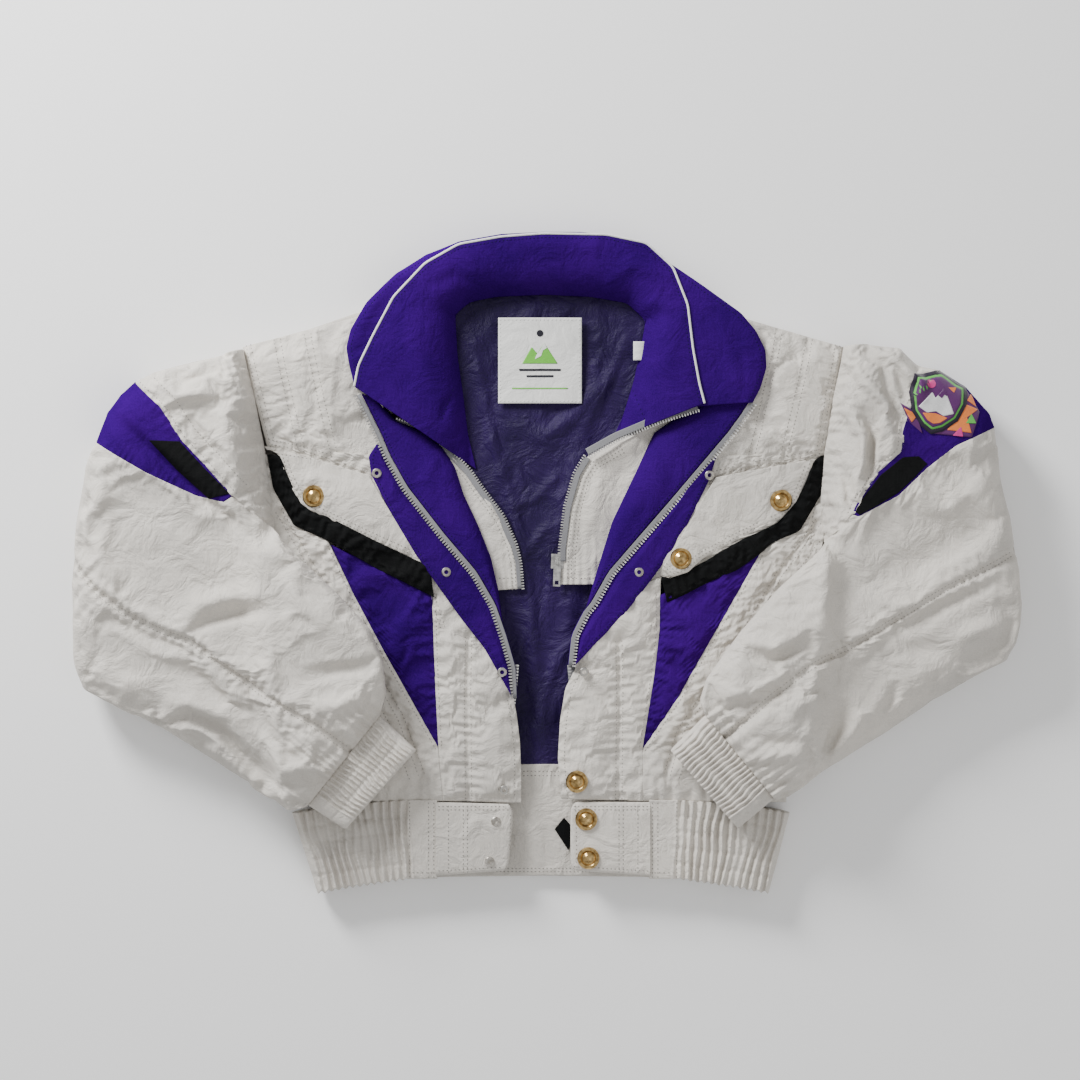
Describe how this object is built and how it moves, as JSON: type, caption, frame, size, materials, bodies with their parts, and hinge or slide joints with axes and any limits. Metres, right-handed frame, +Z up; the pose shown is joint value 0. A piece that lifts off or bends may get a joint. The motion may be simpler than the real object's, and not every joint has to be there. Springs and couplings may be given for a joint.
{
  "type": "ski jacket",
  "caption": "Waist-length padded ski jacket laid flat with its front open and sleeves folded over it, with collars, snap flaps, zips, ribbed cuffs and an elastic waistband.",
  "frame": {"origin": "on the resting face, under the middle of the back", "axes": "+X towards the wearer's left sleeve, +Y towards the collar, +Z up, out of the front"},
  "size_m": [0.9, 0.627, 0.072],
  "materials": {
    "grey_fabric": "matte woven",
    "purple_fabric": "matte woven",
    "black_fabric": "matte woven",
    "satin_lining": "satin",
    "padding": "loose fibre",
    "zip_tape": "ribbed tape",
    "zip_metal": "polished",
    "brass_snaps": "polished",
    "steel_snaps": "polished",
    "label": "satin",
    "patch": "embroidered"
  },
  "bodies": {
    "torso": {"back_shell": "grey_fabric", "back_padding": "padding", "back_lining": "satin_lining", "waistband_back": "grey_fabric", "outer_collar": "purple_fabric", "inner_collar": "purple_fabric", "neck_label": "label", "hem_tongue": "black_fabric", "front_snaps": "brass_snaps", "emblem_patch": "patch", "waistband_left": "grey_fabric", "shoulder_yoke_left": "grey_fabric", "front_stripe_left": "black_fabric", "front_wedge_left": "purple_fabric", "side_panel_left": "grey_fabric", "front_panel_left": "grey_fabric", "front_lining_left": "satin_lining", "front_padding_left": "padding", "front_facing_left": "purple_fabric", "inner_bib_left": "grey_fabric", "main_zip_tape_left": "zip_tape", "main_zip_teeth_left": "zip_metal", "inner_zip_teeth_left": "zip_metal", "sleeve_cap_left": "grey_fabric", "sleeve_stripe_left": "purple_fabric", "waistband_right": "grey_fabric", "shoulder_yoke_right": "grey_fabric", "front_stripe_right": "black_fabric", "front_wedge_right": "purple_fabric", "side_panel_right": "grey_fabric", "front_panel_right": "grey_fabric", "front_lining_right": "satin_lining", "front_padding_right": "padding", "front_facing_right": "purple_fabric", "inner_bib_right": "grey_fabric", "main_zip_tape_right": "zip_tape", "main_zip_teeth_right": "zip_metal", "inner_zip_teeth_right": "zip_metal", "sleeve_cap_right": "grey_fabric", "sleeve_stripe_right": "purple_fabric"},
    "sleeve_left": {"sleeve_left": "grey_fabric", "cuff_left": "grey_fabric"},
    "chest_flap_left": {"chest_flap_left": "grey_fabric", "chest_snaps_left": "brass_snaps"},
    "storm_flap_left": {"storm_flap_left": "purple_fabric", "storm_snaps_left": "steel_snaps"},
    "waist_tab_left": {"waist_tab_left": "grey_fabric", "tab_snaps_left": "brass_snaps"},
    "sleeve_right": {"sleeve_right": "grey_fabric", "cuff_right": "grey_fabric"},
    "chest_flap_right": {"chest_flap_right": "grey_fabric", "chest_snaps_right": "brass_snaps"},
    "storm_flap_right": {"storm_flap_right": "purple_fabric", "storm_snaps_right": "steel_snaps"},
    "waist_tab_right": {"waist_tab_right": "grey_fabric", "tab_snaps_right": "brass_snaps"},
    "main_slider": {"main_zip_slider": "zip_metal"},
    "main_pull": {"main_zip_pull": "zip_metal"},
    "inner_slider": {"inner_zip_slider": "zip_metal"},
    "inner_pull": {"inner_zip_pull": "zip_metal"}
  },
  "joints": [
    {"name": "sleeve_right_swing", "type": "hinge", "parent": "torso", "child": "sleeve_right", "pos_m": [-0.268, 0.022, 0], "axis": [0, 0, -1], "range_deg": [0, 18], "deforming": ["sleeve_cap_right", "sleeve_stripe_right"]},
    {"name": "chest_flap_right_lift", "type": "hinge", "parent": "torso", "child": "chest_flap_right", "pos_m": [-0.216, 0.09537, 0.0308], "axis": [-0.9833, 0.1821, 0], "range_deg": [0, 150]},
    {"name": "storm_flap_right_lift", "type": "hinge", "parent": "torso", "child": "storm_flap_right", "pos_m": [-0.10114, 0.02702, 0.0308], "axis": [-0.584, 0.8117, 0], "range_deg": [0, 150]},
    {"name": "waist_tab_right_lift", "type": "hinge", "parent": "torso", "child": "waist_tab_right", "pos_m": [-0.1007, -0.262, 0.028], "axis": [0, -1, 0], "range_deg": [0, 150]},
    {"name": "sleeve_left_swing", "type": "hinge", "parent": "torso", "child": "sleeve_left", "pos_m": [0.268, 0.022, 0], "axis": [0, 0, 1], "range_deg": [0, 18], "deforming": ["sleeve_cap_left", "sleeve_stripe_left", "emblem_patch"]},
    {"name": "chest_flap_left_lift", "type": "hinge", "parent": "torso", "child": "chest_flap_left", "pos_m": [0.216, 0.09537, 0.0308], "axis": [-0.9833, -0.1821, 0], "range_deg": [0, 150]},
    {"name": "storm_flap_left_lift", "type": "hinge", "parent": "torso", "child": "storm_flap_left", "pos_m": [0.10114, 0.02702, 0.0308], "axis": [-0.584, -0.8117, 0], "range_deg": [0, 150]},
    {"name": "waist_tab_left_lift", "type": "hinge", "parent": "torso", "child": "waist_tab_left", "pos_m": [0.1007, -0.262, 0.028], "axis": [0, 1, 0], "range_deg": [0, 150]},
    {"name": "main_zip_slide", "type": "slide", "parent": "torso", "child": "main_slider", "axis": [-0.0718, 0.9974, 0], "range_m": [0, 0.075]},
    {"name": "main_pull_swing", "type": "hinge", "parent": "main_slider", "child": "main_pull", "pos_m": [0.03114, -0.19643, 0.0223], "axis": [-0.9974, -0.0718, 0], "range_deg": [0, 8]},
    {"name": "inner_zip_slide", "type": "slide", "parent": "torso", "child": "inner_slider", "axis": [0.0345, 0.9994, 0], "range_m": [0, 0.055]},
    {"name": "inner_pull_swing", "type": "hinge", "parent": "inner_slider", "child": "inner_pull", "pos_m": [0.01361, 0.00216, 0.01855], "axis": [-0.9994, 0.0345, 0], "range_deg": [0, 150]}
  ]
}
